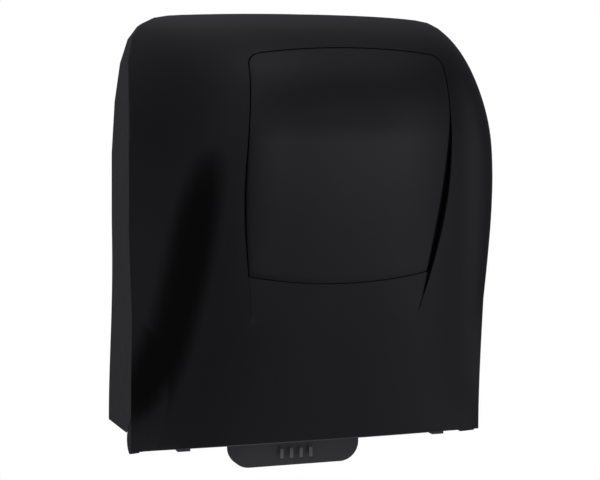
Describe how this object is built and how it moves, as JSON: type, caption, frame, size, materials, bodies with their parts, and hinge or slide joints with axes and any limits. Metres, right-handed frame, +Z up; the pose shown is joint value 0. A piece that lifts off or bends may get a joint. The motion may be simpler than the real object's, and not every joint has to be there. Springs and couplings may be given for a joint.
{
  "type": "auto-cut roll towel dispenser",
  "caption": "Wall-mounted roll towel dispenser with a bulging glossy black front cover that drops open, an inset centre panel, a feed drum with a geared knife and a push lever below.",
  "frame": {"origin": "on the flat back face, in the middle of the width and at half the height of the case without its lever", "axes": "+X to the viewer's right, +Y into the wall, so the front faces -Y, +Z up"},
  "size_m": [0.33, 0.216, 0.406],
  "materials": {
    "housing_plastic": "fine matte moulded black",
    "cover_plastic": "glossy black",
    "panel_plastic": "glossy black, slightly softer than the cover",
    "lever_plastic": "satin black",
    "frame_plastic": "dark grey moulding",
    "guide_plastic": "dark grey moulding",
    "drum_plastic": "mid grey moulding",
    "gear_plastic": "natural acetal",
    "wheel_plastic": "blue touch point",
    "rubber": "dull black",
    "steel": "bright zinc plated",
    "screw_steel": "zinc plated",
    "spring_steel": "spring wire",
    "blade_steel": "stamped and toothed",
    "lock_metal": "polished"
  },
  "bodies": {
    "housing": {"rear_housing": "housing_plastic", "frame_left": "frame_plastic", "frame_right": "frame_plastic", "tie_rods": "steel", "rear_guide": "guide_plastic", "outlet_guide": "guide_plastic", "drum_bushes": "gear_plastic", "fixed_gear": "gear_plastic", "nip_rod": "steel", "spring_post": "steel", "drive_cover": "guide_plastic", "roll_arm_left": "frame_plastic", "arm_bracket": "frame_plastic", "arm_pin": "steel", "mechanism_screws": "screw_steel", "lock_keeper": "steel", "hinge_brackets": "frame_plastic", "hinge_pins": "steel", "drive_spring": "spring_steel", "lever_spring": "spring_steel"},
    "cover": {"front_cover": "cover_plastic", "front_panel": "panel_plastic", "hinge_tabs": "cover_plastic", "lock_case": "steel", "lock_nut": "steel"},
    "lock": {"lock_barrel": "lock_metal", "lock_tongue": "steel"},
    "lever": {"push_lever": "lever_plastic", "lever_shaft": "steel", "lever_sector": "gear_plastic"},
    "clutch": {"clutch_pinion": "gear_plastic"},
    "drum": {"drum_shell": "drum_plastic", "drum_cap_left": "drum_plastic", "drum_cap_right": "drum_plastic", "grip_bands": "rubber", "crank_disc": "steel", "threading_wheel": "wheel_plastic"},
    "knife": {"knife_carrier": "drum_plastic", "knife_blade": "blade_steel", "knife_pinion": "gear_plastic"},
    "press_arms": {"nip_arms": "frame_plastic"},
    "press_roller": {"nip_axle": "steel", "nip_rollers": "rubber"},
    "left_hub": {"roll_hub_left": "drum_plastic"},
    "right_arm": {"roll_arm_right": "frame_plastic"},
    "right_hub": {"roll_hub_right": "drum_plastic"}
  },
  "joints": [
    {"name": "cover_hinge", "type": "hinge", "parent": "housing", "child": "cover", "pos_m": [0, -0.078, -0.185], "axis": [1, 0, 0], "range_deg": [0, 95]},
    {"name": "key_turn", "type": "hinge", "parent": "cover", "child": "lock", "pos_m": [0, -0.0795, 0.15], "axis": [0, 0, -1], "range_deg": [0, 90]},
    {"name": "lever_push", "type": "hinge", "parent": "housing", "child": "lever", "pos_m": [0, -0.054, -0.16444], "axis": [1, 0, 0], "range_deg": [0, 20], "stiffness_Nm_per_rad": 0.6, "springref_deg": -22.92, "deforming": ["lever_spring"]},
    {"name": "clutch_turn", "type": "hinge", "parent": "housing", "child": "clutch", "pos_m": [0, -0.082, -0.108], "axis": [1, 0, 0], "range_deg": [0, 104]},
    {"name": "drum_spin", "type": "hinge", "parent": "housing", "child": "drum", "pos_m": [0, -0.082, -0.108], "axis": [1, 0, 0], "continuous": true, "deforming": ["drive_spring"]},
    {"name": "knife_spin", "type": "hinge", "parent": "drum", "child": "knife", "pos_m": [0, -0.05099, -0.11929], "axis": [1, 0, 0], "continuous": true},
    {"name": "press_lift", "type": "hinge", "parent": "housing", "child": "press_arms", "pos_m": [0, -0.022, -0.048], "axis": [-1, 0, 0], "range_deg": [0, 10], "stiffness_Nm_per_rad": 0.5, "springref_deg": -17.19},
    {"name": "press_spin", "type": "hinge", "parent": "press_arms", "child": "press_roller", "pos_m": [0, -0.0508, -0.06344], "axis": [1, 0, 0], "continuous": true},
    {"name": "left_hub_spin", "type": "hinge", "parent": "housing", "child": "left_hub", "pos_m": [-0.104, -0.1, 0.058], "axis": [1, 0, 0], "continuous": true},
    {"name": "right_arm_swing", "type": "hinge", "parent": "housing", "child": "right_arm", "pos_m": [0.1137, -0.02, 0.058], "axis": [0, 0, 1], "range_deg": [0, 18], "stiffness_Nm_per_rad": 1, "springref_deg": -11.46},
    {"name": "right_hub_spin", "type": "hinge", "parent": "right_arm", "child": "right_hub", "pos_m": [0.104, -0.1, 0.058], "axis": [1, 0, 0], "continuous": true}
  ],
  "couplings": [
    {"joint": "clutch_turn", "follows": "lever_push", "ratio": 5.2},
    {"joint": "knife_spin", "follows": "drum_spin", "ratio": 1},
    {"joint": "press_spin", "follows": "drum_spin", "ratio": -4.4}
  ]
}
